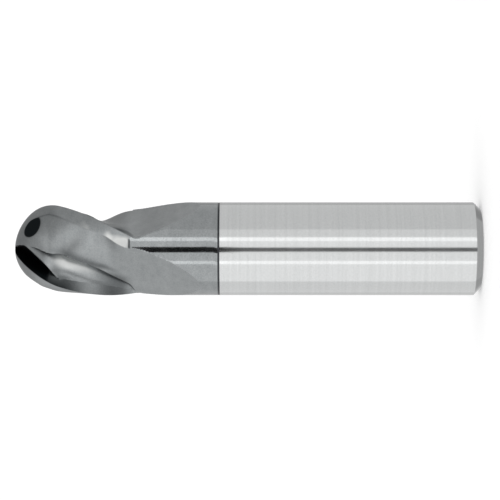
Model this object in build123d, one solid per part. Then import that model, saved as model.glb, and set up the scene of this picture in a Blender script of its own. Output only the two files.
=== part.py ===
from build123d import *
import math
import os

# Solid carbide ball nose end mill, stub length, three flutes, right-hand helix and cut.
# It stands on the flat back face of its shank: origin at the centre of that face, +Z to the tip.
# All lengths in millimetres, all angles in degrees.

os.makedirs("parts", exist_ok=True)

# ---- driving dimensions -------------------------------------------------------------------
TOOL_DIA = 12.7
OVERALL_LENGTH = 63.5
CUT_LENGTH = 15.875
HEAD_LENGTH = 27.7
SEAM_LENGTH = 0.27
SHANK_CHAMFER = 0.95
FLUTE_COUNT = 3
HELIX_LEAD = 69.1
TIP_EDGE_ANGLE = 8.35
CORE_DIA = 6.9
FLUTE_SPAN = 102.0
RUNOUT_END = 25.2
RUNOUT_RAKE_SHIFT = 80.0
LAND_RELIEF = 0.36
LAND_WIDTH_BALL = 34.0
LAND_WIDTH_NECK = 14.5
GASH_SLOPE = 42.0
GASH_OPENING = 58.0
GASH_LEAD_IN = 0.12
BACK_TAPER = 0.01

# ---- derived ------------------------------------------------------------------------------
R = TOOL_DIA / 2
CORE_R = CORE_DIA / 2
PITCH_ANGLE = 360 / FLUTE_COUNT
TURN_PER_MM = 360 / HELIX_LEAD
HEAD_BASE_Z = OVERALL_LENGTH - HEAD_LENGTH
SHANK_LENGTH = HEAD_BASE_Z - SEAM_LENGTH
CUTTER_OUTER_R = R * 1.6
STATION_STEP = 1.15
TIP_OVERRUN = 2.3


def polar(radius, angle):
    """Point in the plan at a radius and an angle from +X."""
    a = math.radians(angle)
    return (radius * math.cos(a), radius * math.sin(a))


def edge_angle(t):
    """Plan angle of the first cutting edge at a depth t below the tip."""
    return TIP_EDGE_ANGLE - TURN_PER_MM * t


def smooth(x):
    """Ease from 0 to 1."""
    x = min(max(x, 0.0), 1.0)
    return x * x * (3 - 2 * x)


def envelope_radius(t):
    """Radius of the ball-nosed blank at a depth t below the tip."""
    if t >= R:
        return R
    return math.sqrt(max(R * R - (R - t) ** 2, 0.0))


def flute_curve(t):
    """Points of one flute's cross-section, from outside its rake side to outside its heel."""
    out = max((t - CUT_LENGTH) / (RUNOUT_END - CUT_LENGTH), 0.0)
    lift = out ** 1.55
    rake = RUNOUT_RAKE_SHIFT * out ** 1.35
    width = FLUTE_SPAN + 6 * smooth(2 * out) - rake
    shape = [
        (R * 0.99, 0.0),
        (R * 0.80, 0.015),
        (CORE_R * 1.22, 0.12),
        (CORE_R, 0.36),
        (CORE_R * 1.06, 0.58),
        (R * 0.74, 0.83),
        (R * 0.965, 1.0),
    ]
    inner = [(r + (R + 0.15 - r) * lift, rake + width * share) for r, share in shape]
    start = [(CUTTER_OUTER_R, rake - 4 - 16 * out)]
    end = [(CUTTER_OUTER_R, rake + width + 24)]
    return start + inner + end


def flute_section(t, first_angle):
    """Closed face of one flute at a depth t below the tip."""
    base = first_angle + edge_angle(t)
    pts = [polar(r, base + a) for r, a in flute_curve(t)]
    ends = [flute_curve(t)[0][1], flute_curve(t)[-1][1]]
    crown = polar(CUTTER_OUTER_R * 1.9, base + sum(ends) / 2)
    edges = [Spline(*pts), Line(pts[-1], crown), Line(crown, pts[0])]
    return Pos(0, 0, OVERALL_LENGTH - t) * make_face(edges)


def flute_cutter(first_angle):
    """Twisted body that one flute leaves, running out behind the cutting length."""
    length = RUNOUT_END + TIP_OVERRUN
    count = round(length / STATION_STEP)
    stations = [length * i / count - TIP_OVERRUN for i in range(count + 1)]
    return loft([flute_section(t, first_angle) for t in stations])


def land_width(t):
    """Angle the relieved land takes up behind its edge at a depth t."""
    share = smooth(t / CUT_LENGTH)
    return LAND_WIDTH_BALL * (1 - share) + LAND_WIDTH_NECK * share


def relief_section(t, first_angle):
    """Sliver between the blank's round and one relieved land at a depth t."""
    base = first_angle + edge_angle(t)
    local_r = envelope_radius(t)
    width = land_width(t) + 4
    drop = LAND_RELIEF * local_r / R
    mid = polar(local_r - drop * 0.42, base - width * 0.5)
    heel = polar(local_r - drop, base - width)
    edge = polar(local_r + 0.004, base)
    outer = polar(local_r + 0.9, base - width * 0.55)
    edges = [Spline(edge, mid, heel), Line(heel, outer), Line(outer, edge)]
    return Pos(0, 0, OVERALL_LENGTH - t) * make_face(edges)


def relief_cutter(first_angle):
    """Body ground away behind one cutting edge, ball and side together."""
    ball = [0.35, 0.7, 1.2, 1.9, 2.8, 3.8, 5.0]
    side = [R + (CUT_LENGTH - R) * i / 7 for i in range(8)]
    return loft([relief_section(t, first_angle) for t in ball + side])


def gash_cutter(first_angle):
    """Wedge ground in front of one ball edge, from the centre down into the flute."""
    angle = first_angle + edge_angle(1.4)
    reach = TOOL_DIA
    slope = math.radians(GASH_SLOPE)
    out = Vector(*polar(math.cos(slope), angle), -math.sin(slope))
    up = Vector(*polar(math.sin(slope), angle), math.cos(slope))
    side = Vector(*polar(1, angle + 90), 0)
    start = Vector(*polar(0.25, angle), OVERALL_LENGTH - 0.55) + side * GASH_LEAD_IN - out * 1.2
    plane = Plane(origin=start, x_dir=side, z_dir=out)
    spread = math.radians(GASH_OPENING)
    sign = 1 if plane.y_dir.dot(up) > 0 else -1
    corner = (reach * math.sin(spread), sign * reach * math.cos(spread))
    profile = make_face(Polyline((0, 0), (0, sign * reach), corner, (0, 0)))
    return extrude(plane * profile, amount=reach * 0.62, dir=out)


def blank():
    """Hemispherical nose on a bar that is a hair thinner at its foot, so that it clears the cut."""
    base = HEAD_BASE_Z
    foot = R - BACK_TAPER
    shoulder = OVERALL_LENGTH - R
    arc_mid = (R * math.sin(math.radians(45)), shoulder + R * math.cos(math.radians(45)))
    outline = [
        Line((0, base), (foot, base)),
        Line((foot, base), (R, shoulder)),
        ThreePointArc((R, shoulder), arc_mid, (0, OVERALL_LENGTH)),
        Line((0, OVERALL_LENGTH), (0, base)),
    ]
    return revolve(Plane.XZ * make_face(outline), axis=Axis.Z)


def cutting_head():
    """Coated ball nose head: flutes, gashes and relieved lands, plain neck at its foot."""
    body = blank()
    for cutter in (flute_cutter(0), relief_cutter(0), gash_cutter(0)):
        for i in range(FLUTE_COUNT):
            body -= Rot(0, 0, i * PITCH_ANGLE) * cutter
    return body


def braze_seam():
    """Thin dark disc between the coated head and the bright shank."""
    return Pos(0, 0, SHANK_LENGTH) * extrude(Circle(R), amount=SEAM_LENGTH)


def shank():
    """Plain ground shank with a chamfered back end."""
    outline = Polyline(
        (0, 0),
        (R - SHANK_CHAMFER, 0),
        (R, SHANK_CHAMFER),
        (R, SHANK_LENGTH),
        (0, SHANK_LENGTH),
        (0, 0),
    )
    return revolve(Plane.XZ * make_face(outline), axis=Axis.Z)


def main():
    """Build every sub-part and write it to its own file."""
    nodes = {"cutting_head": cutting_head, "braze_seam": braze_seam, "shank": shank}
    for name, build in nodes.items():
        body = build()
        body.label = name
        export_step(body, f"parts/{name}.step")
        size = body.bounding_box().size
        print(name, len(body.solids()), round(body.volume, 2), size)


main()
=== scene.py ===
"""Looks for a stub-length solid ball nose end mill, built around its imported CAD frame.

The tool stands on the flat end of its shank: +Z runs from that end to the cutting tip, in metres.
Lengths inside the form classes are in millimetres and angles in degrees, as a tool grinder states
them, and are turned into metres when a mesh is made.
"""

import logging
from dataclasses import dataclass
from enum import Enum

import bpy
import numpy as np
from mathutils import Matrix


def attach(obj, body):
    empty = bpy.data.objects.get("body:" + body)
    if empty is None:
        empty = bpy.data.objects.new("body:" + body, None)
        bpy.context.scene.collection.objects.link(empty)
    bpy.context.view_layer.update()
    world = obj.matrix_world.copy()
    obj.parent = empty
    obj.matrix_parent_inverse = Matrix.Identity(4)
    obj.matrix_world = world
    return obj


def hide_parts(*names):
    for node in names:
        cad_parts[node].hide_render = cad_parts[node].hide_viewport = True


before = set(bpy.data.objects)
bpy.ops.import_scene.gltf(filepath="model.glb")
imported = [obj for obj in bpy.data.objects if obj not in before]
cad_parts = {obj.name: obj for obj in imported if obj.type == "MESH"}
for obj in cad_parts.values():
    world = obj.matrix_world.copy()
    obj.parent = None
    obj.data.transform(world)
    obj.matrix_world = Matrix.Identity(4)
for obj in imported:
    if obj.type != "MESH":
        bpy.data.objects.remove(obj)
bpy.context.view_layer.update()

LOG = logging.getLogger("end_mill")
MM = 0.001


class Slot(Enum):
    """Material slots that the record names."""

    COATED = "coated_carbide"
    SEAM = "seam"
    GROUND = "ground_carbide"


# ---------------------------------------------------------------------------------------------
# Small numeric helpers
# ---------------------------------------------------------------------------------------------


def ease(x: np.ndarray) -> np.ndarray:
    """Smooth step without a kink in its curvature: 6x^5 - 15x^4 + 10x^3, x held between 0 and 1.

    Args:
        x: Values to ease.

    Returns:
        Eased values between 0 and 1.
    """
    x = np.clip(x, 0.0, 1.0)
    return x * x * x * (10.0 + x * (6.0 * x - 15.0))


@dataclass(frozen=True)
class Span:
    """Stretch of depth or angle over which a feature comes in or fades out.

    Attributes:
        at: Where the feature is still, or again, nothing.
        width: How far from there it is whole.
    """

    at: float
    width: float

    def rise(self, x: np.ndarray) -> np.ndarray:
        """Eased 0 up to the place, 1 from a width past it."""
        return ease((x - self.at) / self.width)

    def fall(self, x: np.ndarray) -> np.ndarray:
        """Eased 1 until a width short of the place, 0 past it."""
        return ease((self.at - x) / self.width)


def soft_min(a: np.ndarray, b: np.ndarray, width: np.ndarray) -> np.ndarray:
    """Lesser of two surfaces with a rounded meeting line.

    The parabola h^2 * width / 4 is taken off the plain minimum, where h falls from 1 at the
    meeting line to 0 once the two values are a width apart.

    Args:
        a: First surface.
        b: Second surface.
        width: Distance over which the two are blended.

    Returns:
        The blended minimum.
    """
    width = np.maximum(width, 1e-6)
    h = np.maximum(width - np.abs(a - b), 0.0) / width
    return np.minimum(a, b) - h * h * width * 0.25


def grid_mesh(name: str, rows: np.ndarray, close_first: bool, close_last: bool) -> bpy.types.Object:
    """Skin a stack of closed rings, wound so that the faces point outwards.

    Ring i and ring i+1 are joined by quads; a closed end is a fan on the ring's own middle.

    Args:
        name: Name of the new object.
        rows: Array (rings, points, 3) in metres, rings from high Z to low Z, counter-clockwise.
        close_first: Close the first ring with a fan.
        close_last: Close the last ring with a fan.

    Returns:
        The new object, linked to the scene.
    """
    rings, points, _ = rows.shape
    verts = rows.reshape(-1, 3)
    i = np.arange(rings - 1)[:, None]
    j = np.arange(points)[None, :]
    k = (j + 1) % points
    quads = np.stack(
        [i * points + j, (i + 1) * points + j, (i + 1) * points + k, i * points + k], axis=-1
    ).reshape(-1, 4)
    ring = np.arange(points)
    following = (ring + 1) % points
    caps = []
    if close_first:
        caps.append(np.stack([np.full(points, len(verts)), ring, following], axis=-1))
        verts = np.vstack([verts, rows[0].mean(axis=0)])
    if close_last:
        base = (rings - 1) * points
        caps.append(np.stack([np.full(points, len(verts)), base + following, base + ring], axis=-1))
        verts = np.vstack([verts, rows[-1].mean(axis=0)])
    faces = quads.tolist() + [face for cap in caps for face in cap.tolist()]
    mesh = bpy.data.meshes.new(name)
    mesh.from_pydata(verts.tolist(), [], faces)
    mesh.update()
    piece = bpy.data.objects.new(name, mesh)
    bpy.context.scene.collection.objects.link(piece)
    return piece


def paint(piece: bpy.types.Object, name: str, values: np.ndarray) -> None:
    """Store one value per ring point, for the piece's material to read.

    Args:
        piece: The piece.
        name: Attribute name.
        values: Array (rings, points); the middles of closed ends are given 0.
    """
    flat = np.zeros(len(piece.data.vertices), dtype=np.float32)
    flat[: values.size] = values.ravel()
    piece.data.attributes.new(name, "FLOAT", "POINT").data.foreach_set("value", flat)


def shade(piece: bpy.types.Object, crease: float) -> None:
    """Shade a piece smooth, with edges sharper than an angle left crisp.

    Args:
        piece: The piece to shade.
        crease: Crease angle in degrees.
    """
    mesh = piece.data
    mesh.polygons.foreach_set("use_smooth", np.ones(len(mesh.polygons), dtype=bool))
    mesh.set_sharp_from_angle(angle=np.radians(crease))


# ---------------------------------------------------------------------------------------------
# Forms
# ---------------------------------------------------------------------------------------------


@dataclass
class HeadForm:
    """Ball nose cutting head: three helical teeth, their gashes and flute run-outs, and the neck.

    Around the tool an angle is counted from -Y towards +X, and along it a depth is counted from
    the tip. Each tooth's own angle starts at its cutting edge.
    """

    radius: float = 6.35
    overall: float = 63.5
    length: float = 27.7
    cut_length: float = 15.9
    teeth: int = 3
    lead: float = 69.1
    tip_angle: float = -21.65
    relief_depth: float = 0.12
    relief_decay: float = 38.0
    back_drop: float = 0.275
    back_rise: float = 1.4
    back_span: float = 97.0
    back_crest: float = 125.0
    runout_start: float = 16.9
    runout_slope: float = 0.317
    runout_distance: float = 3.78
    runout_heading: float = -53.0
    throat_radius: float = 2.2
    throat_offset: float = 4.93
    back_heading: float = 6.0
    back_bow: float = 0.0526
    gash_normal: tuple[float, float, float] = (1.0, -2.0, -2.0)
    gash_distance: float = -0.94
    gash_wall: float = 0.55
    facet_normal: tuple[float, float, float] = (0.738, 0.386, -0.554)
    facet_distance: float = 2.05
    heel_lead: float = 20.5
    heel_ball_end: float = 4.9
    heel_widening: float = 4.5
    heel_setback: float = 6.5
    heel_span: Span = Span(9.5, 4.5)
    turn_span: Span = Span(3.5, 14.0)
    bow_span: Span = Span(5.5, 8.0)
    flat_span: Span = Span(9.5, 7.5)
    flat_sink: float = 0.1
    flat_rounding: float = 1.1
    throat_least: float = 0.2
    throat_shrink: float = 0.17
    throat_shrink_start: float = 10.0
    throat_lift: float = 0.085
    throat_lift_start: float = 11.0
    throat_lift_power: float = 1.6
    throat_exit: float = 0.7
    throat_exit_span: Span = Span(15.3, 1.6)
    throat_entry: float = 1.25
    throat_entry_span: Span = Span(7.5, 3.5)
    lip_climb: float = 0.35
    gash_reach: float = 6.5
    facet_reach: float = 4.5
    far: float = 90.0
    wall_columns: int = 9
    space_columns: int = 91
    land_columns: int = 16

    @property
    def pitch(self) -> float:
        """Angle from one tooth to the next, in degrees."""
        return 360.0 / self.teeth

    def edge_angle(self, depth: np.ndarray) -> np.ndarray:
        """Angle of the cutting edge, falling by 360 degrees per lead as the depth grows."""
        return self.tip_angle - 360.0 / self.lead * depth

    def envelope(self, depth: np.ndarray) -> np.ndarray:
        """Radius of the round blank: sqrt(R^2 - (R - depth)^2) on the ball, R behind it."""
        rest = np.clip(self.radius - depth, 0.0, self.radius)
        return np.sqrt(np.maximum(self.radius**2 - rest**2, 0.0))

    def relieved(self, delta: np.ndarray, depth: np.ndarray) -> np.ndarray:
        """Outside of a tooth: the envelope less relief_depth * (1 - exp(-angle / relief_decay)).

        Args:
            delta: Angle from the tooth in front, in degrees; the relief counts back from the edge.
            depth: Depth below the tip.

        Returns:
            Radius of the relieved outside.
        """
        behind = self.pitch - delta
        worn = self.relief_depth * (1.0 - np.exp(-behind / self.relief_decay))
        return self.envelope(depth) * (1.0 - worn)

    def land(self, delta: np.ndarray, depth: np.ndarray) -> np.ndarray:
        """Relieved outside over the cutting length, the whole envelope behind it.

        Args:
            delta: Angle from the tooth in front, in degrees.
            depth: Depth below the tip.

        Returns:
            Radius of the land.
        """
        return np.where(depth < self.cut_length, self.relieved(delta, depth), self.envelope(depth))

    def back(self, delta: np.ndarray, depth: np.ndarray) -> np.ndarray:
        """Back of a tooth: a rounded spiral that follows the ball and rises to the heel.

        It stands at envelope * (1 - back_drop * (angle short of the crest / back_span)^back_rise).

        Args:
            delta: Angle from the tooth in front, in degrees.
            depth: Depth below the tip.

        Returns:
            Radius of the tooth's back.
        """
        short = np.maximum(self.back_crest - delta, 0.0) / self.back_span
        return self.envelope(depth) * (1.0 - self.back_drop * short**self.back_rise)

    def heel_angle(self, depth: np.ndarray) -> np.ndarray:
        """Angle at which the tooth's back meets its land, counted from the tooth in front."""
        short = np.maximum(self.heel_ball_end - depth, 0.0)
        setback = self.heel_setback * self.heel_span.rise(depth)
        return self.pitch - self.heel_lead - self.heel_widening * short + setback

    def runout(self, delta: np.ndarray, depth: np.ndarray) -> np.ndarray:
        """Back of the tooth below the ball, turning into the flat of the flute run-out.

        In a frame turned to a heading h the outline is u = D - bow v^2. With b the angle from h,
        a ray meets it at 2 D / (cos b + sqrt(cos^2 b + 4 D bow sin^2 b)). D is chosen so that the
        outline passes through the heel of the land; past the run-out's start it grows with the
        depth, the bow is gone and the surface is a flat that leaves the axis at a steady slope.

        Args:
            delta: Angle from the tooth in front, in degrees.
            depth: Depth below the tip.

        Returns:
            Radius of the surface.
        """
        turn = self.turn_span.rise(depth)
        heading = self.back_heading + (self.runout_heading - self.back_heading) * turn
        bow = self.back_bow * (1.0 - self.bow_span.rise(depth))
        heel = self.heel_angle(depth)
        off = np.radians(heel + self.edge_angle(depth) - heading)
        reach = self.relieved(heel, depth)
        behind = depth - self.runout_start
        grown = 0.5 * (behind + np.hypot(behind, self.flat_rounding))
        flat = self.runout_distance - self.flat_sink + self.runout_slope * grown
        late = self.flat_span.rise(depth)
        distance = reach * np.cos(off) + bow * (reach * np.sin(off)) ** 2
        distance = distance * (1.0 - late) + flat * late
        angle = np.radians(delta + self.edge_angle(depth) - heading)
        cosine = np.cos(angle)
        root = np.sqrt(cosine**2 + 4.0 * distance * bow * np.sin(angle) ** 2)
        return 2.0 * distance / np.maximum(cosine + root, 0.08)

    def throat_circle(self, depth: np.ndarray) -> tuple[np.ndarray, np.ndarray]:
        """Radius of the groove's circle and how far out its touching point on the rake wall is."""
        shrunk = self.throat_shrink * np.maximum(depth - self.throat_shrink_start, 0.0)
        size = np.maximum(self.throat_radius - shrunk, self.throat_least)
        lift = self.throat_lift * np.maximum(depth - self.throat_lift_start, 0.0) ** self.throat_lift_power
        lift = lift + self.throat_exit * self.throat_exit_span.rise(depth)
        return size, self.throat_offset + lift + self.throat_entry * self.throat_entry_span.fall(depth)

    def lip_angle(self, depth: np.ndarray) -> np.ndarray:
        """Angle of the groove's lip: twice the angle whose tangent is circle radius over offset."""
        size, offset = self.throat_circle(depth)
        return np.degrees(2.0 * np.arctan2(size, offset))

    def tones(self, delta: np.ndarray, depth: np.ndarray) -> np.ndarray:
        """Painted dark bands beside the groove's lip, at its end and along the heel.

        They stand in for dark reflections and are part of the base colour, so they stay there
        under any light. The bands at the lip and the heel are bell curves of the angle from their
        line; all are eased in and out along the depth.

        Args:
            delta: Angle from the tooth in front, in degrees.
            depth: Depths as a column.

        Returns:
            Array like delta, 0 to 1.
        """
        lip = self.lip_angle(depth)
        beside = 0.58 * np.exp(-(((delta - lip - 3.0) / 8.0) ** 2))
        beside = beside * Span(4.5, 3.5).rise(depth) * Span(15.5, 4.0).fall(depth)
        end = 0.62 * Span(9.5, 4.5).rise(depth) * Span(44.0, 36.0).fall(delta)
        end = end * Span(16.4, 2.2).fall(depth)
        heel = 0.4 * np.exp(-(((delta - self.heel_angle(depth)) / 1.4) ** 2))
        heel = heel * Span(2.2, 1.0).rise(depth) * Span(9.0, 4.0).fall(depth)
        return np.maximum(np.maximum(beside, end), heel)

    def throat(self, delta: np.ndarray, depth: np.ndarray) -> np.ndarray:
        """Rounded groove in front of the rake face, a circle that touches the rake wall.

        The near meeting of a ray with a circle of radius q at distance c and angle g is at
        c cos(angle - g) - sqrt(q^2 - c^2 sin^2(angle - g)). The circle moves out along the wall
        and shrinks towards the end of the cutting length.

        Args:
            delta: Angle from the tooth in front, in degrees.
            depth: Depth below the tip.

        Returns:
            Radius of the groove; past its lip it climbs steeply outwards.
        """
        size, offset = self.throat_circle(depth)
        reach = np.hypot(offset, size)
        turn = np.radians(delta) - np.arctan2(size, offset)
        under = size**2 - (reach * np.sin(turn)) ** 2
        near = reach * np.cos(turn) - np.sqrt(np.maximum(under, 0.0))
        past = delta - self.lip_angle(depth)
        return np.where(past < 0.0, near, offset + self.lip_climb * past)

    def plane(
        self,
        delta: np.ndarray,
        depth: np.ndarray,
        normal: tuple[float, float, float],
        distance: float,
    ) -> np.ndarray:
        """Flat ground facet that does not follow the helix.

        Where normal . (r cos a, r sin a, depth) = distance, so
        r = (distance - n3 depth) / (n1 cos a + n2 sin a).

        Args:
            delta: Angle from the tooth in front, in degrees.
            depth: Depth below the tip.
            normal: Outward normal towards -Y, towards +X and along the depth.
            distance: The plane's constant.

        Returns:
            Radius at which a ray meets the facet, very large where it does not.
        """
        angle = np.radians(delta + self.edge_angle(depth))
        facing = normal[0] * np.cos(angle) + normal[1] * np.sin(angle)
        met = np.maximum(distance - normal[2] * depth, 0.12) / np.maximum(facing, 1e-3)
        return np.where(facing > 1e-3, met, self.far)

    def flute(self, delta: np.ndarray, depth: np.ndarray) -> np.ndarray:
        """Tooth back, run-out and throat rounded into one another.

        Args:
            delta: Angle from the tooth in front, in degrees.
            depth: Depth below the tip.

        Returns:
            Radius of the helical flute's surface.
        """
        share = Span(1.0, 5.0).rise(depth)
        run = np.minimum(self.runout(delta, depth), 1.6 * self.radius)
        back = self.back(delta, depth) * (1.0 - share) + run * share
        blend = 2.6 * (1.0 - Span(2.0, 7.0).rise(depth)) + 0.12
        return soft_min(back, self.throat(delta, depth), blend)

    def ground(self, delta: np.ndarray, depth: np.ndarray) -> np.ndarray:
        """Lesser of the gash and the heel facet, the two flats ground across the ball.

        The gash stops at an upright wall that runs past the axis at a small distance.

        Args:
            delta: Angle from the tooth in front, in degrees.
            depth: Depth below the tip.

        Returns:
            Radius of the flats, very large outside their reach.
        """
        gash = self.plane(delta, depth, self.gash_normal, self.gash_distance)
        angle = np.radians(delta + self.edge_angle(depth))
        beside = self.land(delta, depth) * np.sin(angle) < self.gash_wall
        gash = np.where((depth < self.gash_reach) & (delta < 90.0) & beside, gash, self.far)
        facet = self.plane(delta, depth, self.facet_normal, self.facet_distance)
        facet = np.where((depth < self.facet_reach) & (delta > 20.0), facet, self.far)
        return np.minimum(gash, facet)

    def section(self, delta: np.ndarray, depth: np.ndarray) -> np.ndarray:
        """Radius of the ground head inside one tooth pitch: the least of all its surfaces.

        Args:
            delta: Angle from the tooth in front, in degrees.
            depth: Depth below the tip.

        Returns:
            Radius of the solid.
        """
        cut = np.minimum(self.flute(delta, depth), self.ground(delta, depth))
        return np.minimum(cut, self.land(delta, depth))

    def zones(self, delta: np.ndarray, depth: np.ndarray) -> dict[str, np.ndarray]:
        """How far each point belongs to the painted zones of the head.

        The dark share is painted shade and painted dark reflection on the gash, the facet, the notch
        where a land ends, the painted bands and the rake wall, which fades out below the gash. The
        bright shares are painted highlight on the lower land and on the groove's floor. cut_share is
        rougher: all that the wheel has cut.

        Args:
            delta: Angle from the tooth in front, in degrees, one row per ring.
            depth: Depths as a column.

        Returns:
            Attribute name to an array like delta, 0 to 1.
        """
        flute = self.flute(delta, depth)
        land = self.land(delta, depth)
        flats = self.ground(delta, depth)
        # Painted shade and painted dark reflection: the gash and the facet go towards black.
        flat = ease((np.minimum(flute, land) - flats) / 0.05)
        # Painted shade along the rake wall, lighter towards its foot past the gash, fading out further
        # down.
        wall = 0.86 * Span(4.4, 0.6).rise(depth) * Span(10.5, 4.5).fall(depth)
        wall = Span(5.0, 0.6).fall(depth) + wall
        count = self.wall_columns
        inward = np.linspace(1.0, 0.55, count)[None, :]
        flat[:, :count] = np.minimum(wall, 1.0) * inward ** (depth > 4.8)
        # Painted shade in the notch where a land ends.
        notch = np.exp(-(((depth - self.cut_length + 0.05) / 0.13) ** 2))
        notch = notch * Span(104.0, 1.5).rise(delta) * Span(117.0, 2.0).fall(delta)
        flat = np.maximum(flat, notch)
        flat = np.maximum(flat, self.tones(delta, depth))
        # Painted highlight on the lower land; the material lays it on in random patches.
        top = ease((np.minimum(flute, flats) - land) / 0.04) * (delta > 60.0)
        worn = top * Span(self.cut_length, 0.1).fall(depth) * Span(7.5, 4.0).rise(depth)
        # Painted highlight on the groove's floor.
        floor = ease((self.back(delta, depth) - self.throat(delta, depth)) / 1.2)
        floor = floor * Span(3.0, 3.0).rise(depth) * Span(13.0, 6.0).fall(depth) * (1.0 - flat)
        turned = ease((np.minimum(flute, flats) - self.envelope(depth)) / 0.02)
        cut = 1.0 - turned * (depth > self.cut_length)
        return {"painted_shade_share": flat, "land_highlight_share": worn, "floor_highlight_share": floor, "cut_share": cut}

    def depths(self) -> np.ndarray:
        """Depths of the rings: even steps of arc on the ball, then close steps to the neck."""
        turn = np.radians(np.linspace(1.0, 90.0, 88))
        ball = self.radius * (1.0 - np.cos(turn))
        side = np.linspace(self.radius, self.cut_length - 0.01, 82)[1:]
        step = np.array([self.cut_length + 0.01])
        runout = np.linspace(self.cut_length + 0.12, 25.6, 78)
        neck = np.linspace(25.9, self.length, 4)
        return np.concatenate([ball, side, step, runout, neck])

    def pitch_grid(self, depth: np.ndarray) -> tuple[np.ndarray, np.ndarray]:
        """Angles and radii of the columns of one pitch: rake wall, tooth space, then land.

        Args:
            depth: Ring depths, one per row.

        Returns:
            Arrays (rings, columns) of angle from the leading edge and of radius.
        """
        pitch = self.pitch
        row = depth[:, None]
        fine = np.linspace(45.0, pitch - 2.0, 900)[None, :]
        gap = self.section(fine, row) - self.land(fine, row)
        cut = gap < -1e-4
        last = np.where(cut.any(axis=1), fine[0][fine.shape[1] - 1 - cut[:, ::-1].argmax(axis=1)], 98.0)
        heel = np.clip(last, 84.0, 107.0)
        kernel = np.ones(7) / 7.0
        heel = np.convolve(np.pad(heel, 3, mode="edge"), kernel, mode="valid")[:, None]
        space = heel * np.linspace(0.0, 1.0, self.space_columns)[None, :] ** 1.12
        space[:, 0] = 0.02
        land = heel + (pitch - heel) * np.linspace(0.0, 1.0, self.land_columns + 1)[None, 1:-1]
        space_r = self.section(space, row)
        land_r = self.section(land, row)
        rim = np.full_like(row, pitch - 0.01)
        edge = np.minimum(self.envelope(depth), self.section(rim, row)[:, 0])
        foot = np.minimum(space_r[:, :1], edge[:, None])
        climb = np.linspace(0.0, 1.0, self.wall_columns)[None, :]
        wall_r = edge[:, None] + (foot - edge[:, None]) * climb
        wall = np.zeros_like(wall_r)
        return np.hstack([wall, space, land]), np.hstack([wall_r, space_r, land_r])

    def build(self) -> bpy.types.Object:
        """Lay every ring out round the axis and skin the stack.

        A point at angle a and radius r lies at (r sin a, -r cos a, overall - depth).

        Returns:
            The head as one closed piece.
        """
        depth = self.depths()
        delta, radius = self.pitch_grid(depth)
        zones = self.zones(delta, depth[:, None])
        start = self.edge_angle(depth)[:, None]
        turns = [delta + start + self.pitch * i for i in range(self.teeth)]
        angle = np.radians(np.hstack(turns))
        radius = np.hstack([radius] * self.teeth)
        height = np.broadcast_to((self.overall - depth)[:, None], radius.shape)
        rows = np.stack([radius * np.sin(angle), -radius * np.cos(angle), height], axis=-1)
        piece = grid_mesh("cutting_head_ground", rows * MM, True, True)
        for name, share in zones.items():
            paint(piece, name, np.hstack([share] * self.teeth))
        shade(piece, 24.0)
        return piece


@dataclass
class ShankForm:
    """Plain ground shank turned about the axis, with a chamfered end and a soft broken corner."""

    radius: float = 6.35
    length: float = 35.53
    chamfer: float = 0.95
    corner: float = 0.05
    segments: int = 256
    rings: int = 90

    def profile(self) -> np.ndarray:
        """Outline from the seam down to the back face as (radius, height) pairs.

        The straight side, a short round of the corner radius, the 45 degree chamfer, a second
        short round and the flat end follow each other.

        Returns:
            Array (points, 2) in millimetres.
        """
        side = np.linspace(self.length, self.chamfer + self.corner, self.rings)
        straight = np.stack([np.full_like(side, self.radius), side], axis=-1)
        run = np.linspace(0.0, 1.0, 9)
        cone_r = self.radius - 0.3 * self.corner - (self.chamfer - self.corner) * run
        cone_z = self.chamfer - 0.3 * self.corner - (self.chamfer - self.corner) * run
        cone = np.stack([cone_r, cone_z], axis=-1)
        flat_r = np.linspace(self.radius - self.chamfer - self.corner, 0.2, 12)
        flat = np.stack([flat_r, np.zeros_like(flat_r)], axis=-1)
        return np.vstack([straight, cone, flat])

    def build(self) -> bpy.types.Object:
        """Turn the outline about the axis.

        Returns:
            The shank as one closed piece.
        """
        outline = self.profile()
        angle = np.linspace(0.0, 2.0 * np.pi, self.segments, endpoint=False)[None, :]
        radius = outline[:, :1]
        height = np.broadcast_to(outline[:, 1:], (len(outline), self.segments))
        rows = np.stack([radius * np.cos(angle), radius * np.sin(angle), height], axis=-1)
        piece = grid_mesh("shank_ground", rows * MM, True, True)
        shade(piece, 20.0)
        return piece


@dataclass
class SeamForm:
    """Narrow dark ring between head and shank, sunk a little below both."""

    radius: float = 6.35
    low: float = 35.53
    high: float = 35.80
    sink: float = 0.03
    segments: int = 256

    def build(self) -> bpy.types.Object:
        """Turn a shallow hollow round the axis: radius = R - sink * sin(pi * share of width).

        Returns:
            The seam as one closed piece.
        """
        share = np.linspace(0.0, 1.0, 9)[:, None]
        angle = np.linspace(0.0, 2.0 * np.pi, self.segments, endpoint=False)[None, :]
        radius = self.radius - 0.004 - self.sink * np.sin(np.pi * share)
        height = np.broadcast_to(self.high + (self.low - self.high) * share, (9, self.segments))
        rows = np.stack([radius * np.cos(angle), radius * np.sin(angle), height], axis=-1)
        piece = grid_mesh("seam_ring", rows * MM, True, True)
        shade(piece, 30.0)
        return piece


# ---------------------------------------------------------------------------------------------
# Shader groups and finishes
# ---------------------------------------------------------------------------------------------


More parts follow.
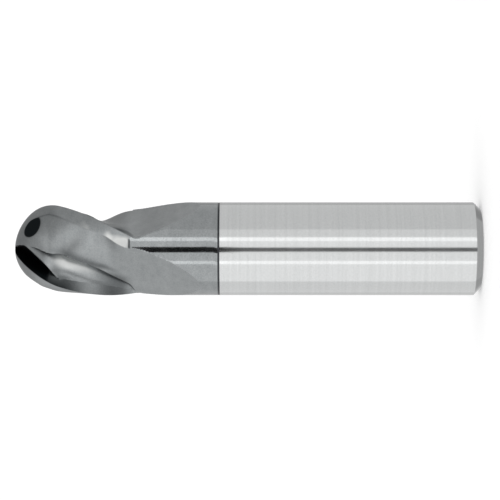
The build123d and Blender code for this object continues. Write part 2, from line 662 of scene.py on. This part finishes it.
class Graph:
    """Thin helper that adds and links nodes in one node tree."""

    def __init__(self, tree: bpy.types.NodeTree) -> None:
        """Keep the tree that is being filled."""
        self.tree = tree

    def add(self, kind: str, **settings: object) -> bpy.types.Node:
        """Add a node and set its properties.

        Args:
            kind: Node type name.
            **settings: Properties to set on the node.

        Returns:
            The new node.
        """
        node = self.tree.nodes.new(kind)
        for key, value in settings.items():
            setattr(node, key, value)
        return node

    def link(self, source: bpy.types.NodeSocket, target: bpy.types.NodeSocket) -> None:
        """Join two sockets."""
        self.tree.links.new(source, target)

    def math(self, operation: str, *values: object) -> bpy.types.NodeSocket:
        """Add a Math node on numbers or sockets.

        Args:
            operation: Math operation name.
            *values: Numbers or sockets, in order.

        Returns:
            The result socket.
        """
        node = self.add("ShaderNodeMath", operation=operation)
        for place, value in enumerate(values):
            if isinstance(value, bpy.types.NodeSocket):
                self.link(value, node.inputs[place])
            else:
                node.inputs[place].default_value = value
        return node.outputs[0]


def new_group(name: str, inputs: dict[str, tuple[str, object]], outputs: dict[str, str]) -> tuple:
    """Create a shader node group with named sockets.

    Args:
        name: Group name.
        inputs: Socket name to (socket type, default value).
        outputs: Socket name to socket type.

    Returns:
        The group, its graph helper, its input node and its output node.
    """
    group = bpy.data.node_groups.new(name, "ShaderNodeTree")
    for label, (kind, value) in inputs.items():
        socket = group.interface.new_socket(name=label, in_out="INPUT", socket_type=kind)
        if value is not None:
            socket.default_value = value
    for label, kind in outputs.items():
        group.interface.new_socket(name=label, in_out="OUTPUT", socket_type=kind)
    graph = Graph(group)
    return group, graph, graph.add("NodeGroupInput"), graph.add("NodeGroupOutput")


def grinding_group() -> bpy.types.ShaderNodeTree:
    """Fine wheel marks: noise stretched along one direction of the piece.

    The point is scaled unevenly so that one noise becomes long thin scratches; a second, broad
    noise varies their strength.

    Returns:
        A group that puts out a scratch height and a patch mask.
    """
    real = "NodeSocketFloat"
    group, g, start, end = new_group(
        "grinding_marks",
        {
            "Point": ("NodeSocketVector", None),
            "Fine": (real, 900.0),
            "Stretch": (real, 0.03),
            "Broad": (real, 260.0),
        },
        {"Height": real, "Patch": real},
    )
    split = g.add("ShaderNodeSeparateXYZ")
    g.link(start.outputs["Point"], split.inputs[0])
    join = g.add("ShaderNodeCombineXYZ")
    g.link(g.math("MULTIPLY", split.outputs[0], start.outputs["Stretch"]), join.inputs[0])
    g.link(g.math("MULTIPLY", split.outputs[1], start.outputs["Stretch"]), join.inputs[1])
    g.link(split.outputs[2], join.inputs[2])
    fine = g.add("ShaderNodeTexNoise", noise_dimensions="3D")
    fine.inputs["Detail"].default_value = 3.0
    fine.inputs["Roughness"].default_value = 0.6
    g.link(join.outputs[0], fine.inputs["Vector"])
    g.link(start.outputs["Fine"], fine.inputs["Scale"])
    broad = g.add("ShaderNodeTexNoise", noise_dimensions="3D")
    broad.inputs["Detail"].default_value = 2.0
    g.link(start.outputs["Point"], broad.inputs["Vector"])
    g.link(start.outputs["Broad"], broad.inputs["Scale"])
    g.link(fine.outputs[0], end.inputs["Height"])
    g.link(broad.outputs[0], end.inputs["Patch"])
    return group


def grain_group() -> bpy.types.ShaderNodeTree:
    """Even small grain of sintered carbide under its coating.

    Returns:
        A group that puts out a grain value round one half.
    """
    real = "NodeSocketFloat"
    group, g, start, end = new_group(
        "carbide_grain",
        {"Point": ("NodeSocketVector", None), "Size": (real, 5200.0)},
        {"Grain": real},
    )
    noise = g.add("ShaderNodeTexNoise", noise_dimensions="3D")
    noise.inputs["Detail"].default_value = 2.0
    noise.inputs["Roughness"].default_value = 0.7
    g.link(start.outputs["Point"], noise.inputs["Vector"])
    g.link(start.outputs["Size"], noise.inputs["Scale"])
    g.link(noise.outputs[0], end.inputs["Grain"])
    return group


def spread_group() -> bpy.types.ShaderNodeTree:
    """Colour that moves between two tones by a mask.

    Returns:
        A group that puts out the mixed colour.
    """
    group, g, start, end = new_group(
        "tone_spread",
        {
            "Mask": ("NodeSocketFloat", 0.5),
            "Low": ("NodeSocketColor", (0.4, 0.4, 0.4, 1.0)),
            "High": ("NodeSocketColor", (0.6, 0.6, 0.6, 1.0)),
        },
        {"Color": "NodeSocketColor"},
    )
    mix = g.add("ShaderNodeMix", data_type="RGBA")
    g.link(start.outputs["Mask"], mix.inputs[0])
    g.link(start.outputs["Low"], mix.inputs[6])
    g.link(start.outputs["High"], mix.inputs[7])
    g.link(mix.outputs[2], end.inputs["Color"])
    return group


@dataclass(frozen=True)
class MetalFinish:
    """Ground metal with wheel marks, grain and slow tone changes.

    Attributes:
        name: Material name.
        low: Darker base colour.
        high: Lighter base colour.
        rough_low: Least roughness.
        rough_high: Most roughness, before what cut_rough adds.
        fine: Scale of the wheel marks.
        stretch: Scale of the marks across the axis, as a share of that along it.
        bump: Strength of the wheel marks.
        grain_bump: Strength of the grain.
        zoned: Read the head's painted zones.
        cut_rough: Roughness added where the wheel has cut.
    """

    name: str
    low: tuple[float, float, float]
    high: tuple[float, float, float]
    rough_low: float
    rough_high: float
    fine: float
    stretch: float
    bump: float
    grain_bump: float
    zoned: bool = False
    cut_rough: float = 0.0

    def paint_zones(
        self,
        g: Graph,
        color: bpy.types.NodeSocket,
        patch: bpy.types.NodeSocket,
    ) -> bpy.types.NodeSocket:
        """Paint the dark share towards black as painted shade and painted dark reflection, and the
        groove's floor and patches on the lower land towards light as painted highlight.

        The tones are set in the base colour and stand in for dark and bright reflections.

        Args:
            g: Graph of the material.
            color: Base colour so far.
            patch: Patch mask of the wheel marks.

        Returns:
            The toned colour.
        """
        flat = g.add("ShaderNodeAttribute", attribute_name="painted_shade_share")
        land = g.add("ShaderNodeAttribute", attribute_name="land_highlight_share")
        # Random patches of the material, where the lower land takes its painted highlight.
        worn = g.add("ShaderNodeMapRange")
        g.link(patch, worn.inputs["Value"])
        worn.inputs["From Min"].default_value = 0.50
        worn.inputs["From Max"].default_value = 0.62
        floor = g.add("ShaderNodeAttribute", attribute_name="floor_highlight_share")
        # Painted highlight: the lower land in patches and the groove's floor.
        painted_highlight = g.math("MULTIPLY", worn.outputs[0], land.outputs["Fac"])
        painted_highlight = g.math("MAXIMUM", painted_highlight, g.math("MULTIPLY", floor.outputs["Fac"], 0.8))
        # Light grey of the painted highlight.
        light = g.add("ShaderNodeMix", data_type="RGBA")
        g.link(painted_highlight, light.inputs[0])
        g.link(color, light.inputs[6])
        light.inputs[7].default_value = (0.66, 0.67, 0.66, 1.0)
        # Near black of the painted shade and painted dark reflections.
        dark = g.add("ShaderNodeMix", data_type="RGBA")
        g.link(flat.outputs["Fac"], dark.inputs[0])
        g.link(light.outputs[2], dark.inputs[6])
        dark.inputs[7].default_value = (0.012, 0.016, 0.018, 1.0)
        return dark.outputs[2]

    def material(self, groups: dict[str, bpy.types.ShaderNodeTree]) -> bpy.types.Material:
        """Make the node material.

        Args:
            groups: Shared shader groups by name.

        Returns:
            The finished material.
        """
        material = bpy.data.materials.new(self.name)
        material.use_nodes = True
        g = Graph(material.node_tree)
        surface = material.node_tree.nodes["Principled BSDF"]
        surface.inputs["Metallic"].default_value = 1.0
        point = g.add("ShaderNodeTexCoord").outputs["Object"]
        marks = g.add("ShaderNodeGroup", node_tree=groups["marks"])
        g.link(point, marks.inputs["Point"])
        marks.inputs["Fine"].default_value = self.fine
        marks.inputs["Stretch"].default_value = self.stretch
        grain = g.add("ShaderNodeGroup", node_tree=groups["grain"])
        g.link(point, grain.inputs["Point"])
        tone = g.add("ShaderNodeGroup", node_tree=groups["tone"])
        tone.inputs["Low"].default_value = (*self.low, 1.0)
        tone.inputs["High"].default_value = (*self.high, 1.0)
        speckle = g.math("MULTIPLY", grain.outputs["Grain"], 0.55)
        mask = g.math("MULTIPLY_ADD", marks.outputs["Height"], 0.45, speckle)
        stretch = g.add("ShaderNodeMapRange")
        g.link(mask, stretch.inputs["Value"])
        stretch.inputs["From Min"].default_value = 0.32
        stretch.inputs["From Max"].default_value = 0.68
        g.link(stretch.outputs[0], tone.inputs["Mask"])
        color = tone.outputs["Color"]
        if self.zoned:
            color = self.paint_zones(g, color, marks.outputs["Patch"])
        g.link(color, surface.inputs["Base Color"])
        rough = g.add("ShaderNodeMapRange")
        g.link(marks.outputs["Patch"], rough.inputs["Value"])
        rough.inputs["From Min"].default_value = 0.3
        rough.inputs["From Max"].default_value = 0.7
        rough.inputs["To Min"].default_value = self.rough_low
        rough.inputs["To Max"].default_value = self.rough_high
        roughness = rough.outputs[0]
        if self.zoned:
            cut = g.add("ShaderNodeAttribute", attribute_name="cut_share")
            roughness = g.math("MULTIPLY_ADD", cut.outputs["Fac"], self.cut_rough, roughness)
        g.link(roughness, surface.inputs["Roughness"])
        height = g.math(
            "ADD",
            g.math("MULTIPLY", marks.outputs["Height"], self.bump),
            g.math("MULTIPLY", grain.outputs["Grain"], self.grain_bump),
        )
        bump = g.add("ShaderNodeBump")
        bump.inputs["Distance"].default_value = 0.00001
        bump.inputs["Strength"].default_value = 1.0
        g.link(height, bump.inputs["Height"])
        g.link(bump.outputs[0], surface.inputs["Normal"])
        return material


COATED = MetalFinish(
    "coated_carbide_satin",
    low=(0.265, 0.28, 0.285),
    high=(0.365, 0.38, 0.385),
    rough_low=0.07,
    rough_high=0.12,
    fine=900.0,
    stretch=0.6,
    bump=0.045,
    grain_bump=0.1,
    zoned=True,
    cut_rough=0.24,
)
GROUND = MetalFinish(
    "ground_carbide_bright",
    low=(0.60, 0.61, 0.61),
    high=(0.68, 0.69, 0.69),
    rough_low=0.09,
    rough_high=0.13,
    fine=2200.0,
    stretch=0.02,
    bump=0.03,
    grain_bump=0.01,
)
SEAM = MetalFinish(
    "seam_dull",
    low=(0.02, 0.023, 0.026),
    high=(0.07, 0.073, 0.078),
    rough_low=0.3,
    rough_high=0.4,
    fine=1500.0,
    stretch=0.05,
    bump=0.1,
    grain_bump=0.1,
)


# ---------------------------------------------------------------------------------------------
# Studio
# ---------------------------------------------------------------------------------------------


@dataclass(frozen=True)
class Fade:
    """Change of a panel's level along the tool: 1 up to start, eased to factor at end, in metres."""

    start: float
    end: float
    factor: float


@dataclass(frozen=True)
class Strip:
    """One long panel beside the tool, set by the angles that it fills about the axis.

    Attributes:
        name: Panel name.
        low_angle: Angle where it starts, from -Y towards +X, in degrees.
        high_angle: Angle where it ends.
        level: Emission strength.
        fades: Changes of the level along the tool, multiplied together.
        reach: Distance from the axis.
        low: Height of its lower edge.
        high: Height of its upper edge.
    """

    name: str
    low_angle: float
    high_angle: float
    level: float
    fades: tuple[Fade, ...]
    reach: float = 0.055
    low: float = -0.06
    high: float = 0.30


@dataclass
class Studio:
    """Pale floor and backdrop, even pale light, panels that only reflections see, and the camera."""

    camera_distance: float = 0.328
    camera_height: float = 0.03142
    camera_side: float = -0.00017
    lens: float = 172.8
    sensor: float = 36.0
    tent_level: float = 1.0
    strips: tuple[Strip, ...] = ()

    def camera(self) -> bpy.types.Object:
        """Camera level with the tool, rolled so that the tip lies to the left.

        Returns:
            The camera object.
        """
        data = bpy.data.cameras.new("camera")
        data.lens = self.lens
        data.sensor_width = self.sensor
        data.clip_start = 0.01
        camera = bpy.data.objects.new("camera", data)
        axes = Matrix(((0.0, 1.0, 0.0), (0.0, 0.0, -1.0), (-1.0, 0.0, 0.0)))
        place = Matrix.Translation((self.camera_side, -self.camera_distance, self.camera_height))
        camera.matrix_world = place @ axes.to_4x4()
        bpy.context.scene.collection.objects.link(camera)
        bpy.context.scene.camera = camera
        return camera

    def pale(self) -> bpy.types.Material:
        """Matt white paper that glows a little, as a light table does.

        Returns:
            The material.
        """
        material = bpy.data.materials.new("studio_white")
        material.use_nodes = True
        surface = material.node_tree.nodes["Principled BSDF"]
        surface.inputs["Base Color"].default_value = (0.9, 0.9, 0.9, 1.0)
        surface.inputs["Roughness"].default_value = 0.9
        surface.inputs["Emission Color"].default_value = (1.0, 1.0, 1.0, 1.0)
        surface.inputs["Emission Strength"].default_value = 0.15
        return material

    def sweep(self) -> bpy.types.Object:
        """Floor that curves up into a backdrop behind the tool.

        A straight floor, a quarter circle and a straight wall are carried sideways.

        Returns:
            The staged sweep.
        """
        bend = 1.0
        back = 4.0
        top = 3.0
        turn = np.linspace(0.0, np.pi / 2, 24)
        y = np.concatenate([[-back], back - bend + bend * np.sin(turn), [back]])
        z = np.concatenate([[0.0], bend - bend * np.cos(turn), [top]])
        x = np.array([-back, back])[:, None]
        verts = np.stack([x + 0 * y, y + 0 * x, z + 0 * x], axis=-1).reshape(-1, 3)
        count = len(y)
        j = np.arange(count - 1)
        faces = np.stack([j, j + count, j + count + 1, j + 1], axis=-1)
        mesh = bpy.data.meshes.new("floor")
        mesh.from_pydata(verts.tolist(), [], faces.tolist())
        mesh.polygons.foreach_set("use_smooth", np.ones(len(faces), dtype=bool))
        mesh.materials.append(self.pale())
        floor = bpy.data.objects.new("floor", mesh)
        bpy.context.scene.collection.objects.link(floor)
        floor.visible_glossy = False
        return floor

    def world(self) -> None:
        """Even pale tent light from all round."""
        world = bpy.data.worlds.new("tent")
        bpy.context.scene.world = world
        world.use_nodes = True
        background = world.node_tree.nodes["Background"]
        background.inputs[0].default_value = (1.0, 1.0, 1.0, 1.0)
        background.inputs[1].default_value = self.tent_level

    def card(self, strip: Strip, corners: np.ndarray) -> None:
        """Flat panel that only reflections see: a light, a grey flag or a black one.

        Args:
            strip: Name, level and fade of the panel.
            corners: Array (4, 3) in metres.
        """
        material = bpy.data.materials.new(strip.name)
        material.use_nodes = True
        g = Graph(material.node_tree)
        surface = material.node_tree.nodes["Principled BSDF"]
        surface.inputs["Base Color"].default_value = (0.0, 0.0, 0.0, 1.0)
        surface.inputs["Specular IOR Level"].default_value = 0.0
        surface.inputs["Roughness"].default_value = 1.0
        surface.inputs["Emission Strength"].default_value = strip.level
        split = g.add("ShaderNodeSeparateXYZ")
        g.link(g.add("ShaderNodeTexCoord").outputs["Object"], split.inputs[0])
        level = None
        for fade in strip.fades:
            span = g.add("ShaderNodeMapRange", interpolation_type="SMOOTHSTEP")
            g.link(split.outputs[2], span.inputs["Value"])
            span.inputs["From Min"].default_value = fade.start
            span.inputs["From Max"].default_value = fade.end
            span.inputs["To Min"].default_value = 1.0
            span.inputs["To Max"].default_value = fade.factor
            level = span.outputs[0] if level is None else g.math("MULTIPLY", level, span.outputs[0])
        if level is not None:
            g.link(level, surface.inputs["Emission Color"])
        mesh = bpy.data.meshes.new(strip.name)
        mesh.from_pydata(corners.tolist(), [], [(0, 1, 2, 3)])
        mesh.materials.append(material)
        panel = bpy.data.objects.new(strip.name, mesh)
        panel.visible_camera = False
        panel.visible_diffuse = False
        panel.visible_shadow = False
        bpy.context.scene.collection.objects.link(panel)

    def ring(self, strip: Strip) -> None:
        """Long upright panels parallel to the tool that fill two angles about it.

        The span is cut into flats of at most 15 degrees.

        Args:
            strip: The panel.
        """
        count = int(np.ceil((strip.high_angle - strip.low_angle) / 15.0))
        bounds = np.linspace(strip.low_angle, strip.high_angle, count + 1)
        for first, last in zip(bounds[:-1], bounds[1:]):
            turn = np.radians([first, last, last, first])
            height = np.array([strip.low, strip.low, strip.high, strip.high])
            side = strip.reach * np.sin(turn)
            front = -strip.reach * np.cos(turn)
            self.card(strip, np.stack([side, front, height], axis=-1))

    def lids(self) -> None:
        """Grey square over the open top of the ring of panels and one under the tool."""
        half = 0.06
        x = np.array([-half, half, half, -half])
        y = np.array([-half, -half, half, half])
        for name, height, glow in (("top_opening", 0.30, 0.42), ("base_flag", -0.06, 0.5)):
            self.card(Strip(name, 0.0, 0.0, glow, ()), np.stack([x, y, np.full(4, height)], axis=-1))

    def look(self) -> None:
        """Plain view transform, so that white paper is white."""
        scene = bpy.context.scene
        scene.view_settings.view_transform = "Standard"
        scene.view_settings.look = "None"
        scene.view_settings.exposure = 0.0

    def build(self) -> None:
        """Set the camera first, then paper, tent and lights."""
        self.camera()
        self.sweep()
        self.world()
        self.lids()
        for strip in self.strips:
            self.ring(strip)
        self.look()


# The angles, levels and fades below were fitted to the stripes that the metal shows from -Y. END
# dims a panel past the tip and under the shank end; the other fades follow features of the head.
END = (Fade(0.085, 0.135, 0.55), Fade(-0.008, -0.035, 0.6))
TOP = (Fade(0.052, 0.078, 0.60), Fade(0.085, 0.135, 0.9), Fade(-0.008, -0.035, 0.6))
FAR = (Fade(0.049, 0.060, 0.70), Fade(0.11, 0.17, 1.0), Fade(-0.008, -0.035, 0.6))
SLOT = (Fade(0.032, 0.037, 0.12), Fade(0.0485, 0.0505, 45.0), *END)
RIM = (Fade(0.032, 0.037, 0.03), Fade(0.0485, 0.0505, 30.0), *END)
LINE = (Fade(0.034, 0.038, 1.25), Fade(0.050, 0.070, 0.6), *END)
STRIPS = (
    Strip("lens_slot", -6.6, 2.6, 0.17, SLOT),
    Strip("slot_rim_high", 2.6, 4.2, 1.0, RIM),
    Strip("slot_rim_low", -8.5, -6.6, 0.98, RIM),
    Strip("front_panel", 4.2, 18.0, 1.09, END),
    Strip("bright_line", 18.0, 26.6, 1.4, LINE),
    Strip("top_step", 26.6, 46.0, 0.90, TOP),
    Strip("top_panel", 46.0, 134.0, 0.75, TOP),
    Strip("far_top_panel", 134.0, 180.0, 0.55, FAR),
    Strip("low_panel", -28.5, -8.5, 1.06, END),
    Strip("low_line", -36.0, -28.5, 1.4, LINE),
    Strip("low_wing", -84.0, -36.0, 1.09, END),
    Strip("under_panel", -134.0, -84.0, 0.88, END),
    Strip("far_low_panel", -180.0, -134.0, 0.72, FAR),
)


def dress(piece: bpy.types.Object, material: bpy.types.Material, node: str) -> None:
    """Give a piece its finish and hand it to the frame in place of its CAD node.

    Args:
        piece: The new piece.
        material: Its finish.
        node: CAD node that the piece stands for.
    """
    piece.data.materials.clear()
    piece.data.materials.append(material)
    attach(piece, "root")
    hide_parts(node)
    LOG.info("%s: %d faces for %s", piece.name, len(piece.data.polygons), node)


def main() -> None:
    """Build the studio and every piece."""
    logging.basicConfig(level=logging.INFO, format="%(name)s %(message)s")
    Studio(strips=STRIPS).build()
    groups = {"marks": grinding_group(), "grain": grain_group(), "tone": spread_group()}
    dress(HeadForm().build(), COATED.material(groups), "cutting_head")
    dress(SeamForm().build(), SEAM.material(groups), "braze_seam")
    dress(ShankForm().build(), GROUND.material(groups), "shank")


if __name__ == "__main__":
    main()
